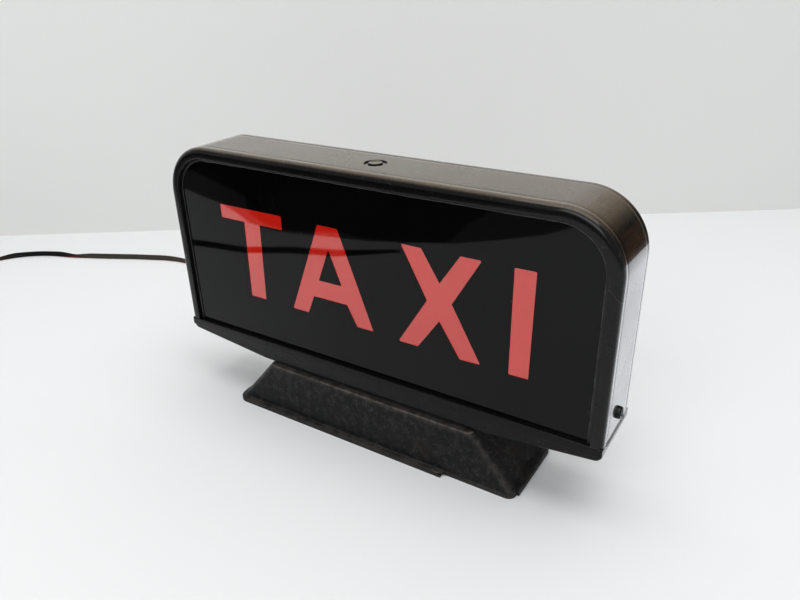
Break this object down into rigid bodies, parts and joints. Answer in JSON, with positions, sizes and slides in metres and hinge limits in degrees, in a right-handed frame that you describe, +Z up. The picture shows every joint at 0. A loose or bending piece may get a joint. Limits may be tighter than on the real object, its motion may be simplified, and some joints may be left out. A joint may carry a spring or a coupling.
{
  "type": "illuminated taxi roof sign",
  "caption": "Black light box with rounded top corners and red letter panels, on a magnetic foot with sloping ends, with a push button and a flat twin lead to a 12 V plug.",
  "frame": {"origin": "centre of the foot's underside, on the surface that the sign stands on", "axes": "+X to the right seen from the front, the front panel faces -Y, +Z up"},
  "size_m": [0.742, 0.2316, 0.1779],
  "materials": {
    "black_plastic": "smooth semi-gloss black plastic, fine scratches",
    "red_lens": "glossy translucent red acrylic",
    "black_film": "glossy black film with cut-out letters",
    "grey_sealant": "dull dark grey sealant, dusty",
    "black_screw": "black oxide, satin",
    "button_plastic": "black moulded plastic, satin",
    "spring_steel": "bright drawn wire",
    "switch_plastic": "dark moulded plastic",
    "tinned_brass": "bright brass",
    "white_steel": "white stoved paint",
    "zinc_steel": "zinc-plated steel",
    "holder_plastic": "dark heat-resistant plastic",
    "lamp_glass": "clear glass",
    "block_plastic": "off-white moulded plastic",
    "wire_pvc": "smooth PVC insulation",
    "pad_rubber": "dull black rubber",
    "foot_rubber": "black moulded rubber skin, scuffed, brown wear",
    "ferrite": "dull dark ferrite",
    "cord_pvc": "black twin PVC insulation with a thin red marking line",
    "plug_plastic": "black moulded plastic",
    "plug_metal": "nickel plate"
  },
  "bodies": {
    "sign": {"housing_shell": "black_plastic", "bottom_tray": "black_plastic", "front_lens": "red_lens", "front_mask": "black_film", "front_seal": "grey_sealant", "rear_lens": "red_lens", "rear_mask": "black_film", "rear_seal": "grey_sealant", "side_screw_left": "black_screw", "side_screw_right": "black_screw", "button_spring": "spring_steel", "switch_body": "switch_plastic", "switch_terminals": "tinned_brass", "reflector": "white_steel", "reflector_screw_left": "zinc_steel", "reflector_screw_right": "zinc_steel", "lamp_holder_left": "holder_plastic", "lamp_holder_right": "holder_plastic", "bulb_left": "lamp_glass", "bulb_right": "lamp_glass", "terminal_block": "block_plastic", "wiring": "wire_pvc", "spacer_gasket": "pad_rubber", "foot_cover": "foot_rubber", "foot_plate": "zinc_steel", "foot_pad": "pad_rubber", "magnet_cup_left": "zinc_steel", "magnet_cup_right": "zinc_steel", "magnet_ring_left": "ferrite", "magnet_ring_right": "ferrite", "magnet_rivet_left": "zinc_steel", "magnet_rivet_right": "zinc_steel", "foot_screw_left": "zinc_steel", "foot_screw_right": "zinc_steel", "foot_nut_left": "zinc_steel", "foot_nut_right": "zinc_steel", "grommet": "pad_rubber", "lead_tube": "cord_pvc", "lead_coil": "cord_pvc", "lead_tail": "cord_pvc", "plug_relief": "pad_rubber", "plug_body": "plug_plastic", "plug_nose": "plug_plastic", "plug_spring": "spring_steel"},
    "button": {"button_cap": "button_plastic"},
    "contact_tip": {"plug_tip": "plug_metal", "plug_fuse": "lamp_glass"},
    "contact_front": {"plug_contact_front": "spring_steel"},
    "contact_back": {"plug_contact_back": "spring_steel"}
  },
  "joints": [
    {"name": "button_press", "type": "slide", "parent": "sign", "child": "button", "axis": [0, 0, -1], "range_m": [0, 0.0015], "stiffness_N_per_m": 400, "springref_m": -0.002, "deforming": ["button_spring"]},
    {"name": "plug_tip_slide", "type": "slide", "parent": "sign", "child": "contact_tip", "axis": [-1, 0, 0], "range_m": [0, 0.003], "stiffness_N_per_m": 300, "springref_m": -0.003, "deforming": ["plug_spring"]},
    {"name": "plug_contact_front_press", "type": "slide", "parent": "sign", "child": "contact_front", "axis": [0, 1, 0], "range_m": [0, 0.0013], "stiffness_N_per_m": 600, "springref_m": -0.001},
    {"name": "plug_contact_back_press", "type": "slide", "parent": "sign", "child": "contact_back", "axis": [0, -1, 0], "range_m": [0, 0.0013], "stiffness_N_per_m": 600, "springref_m": -0.001}
  ]
}
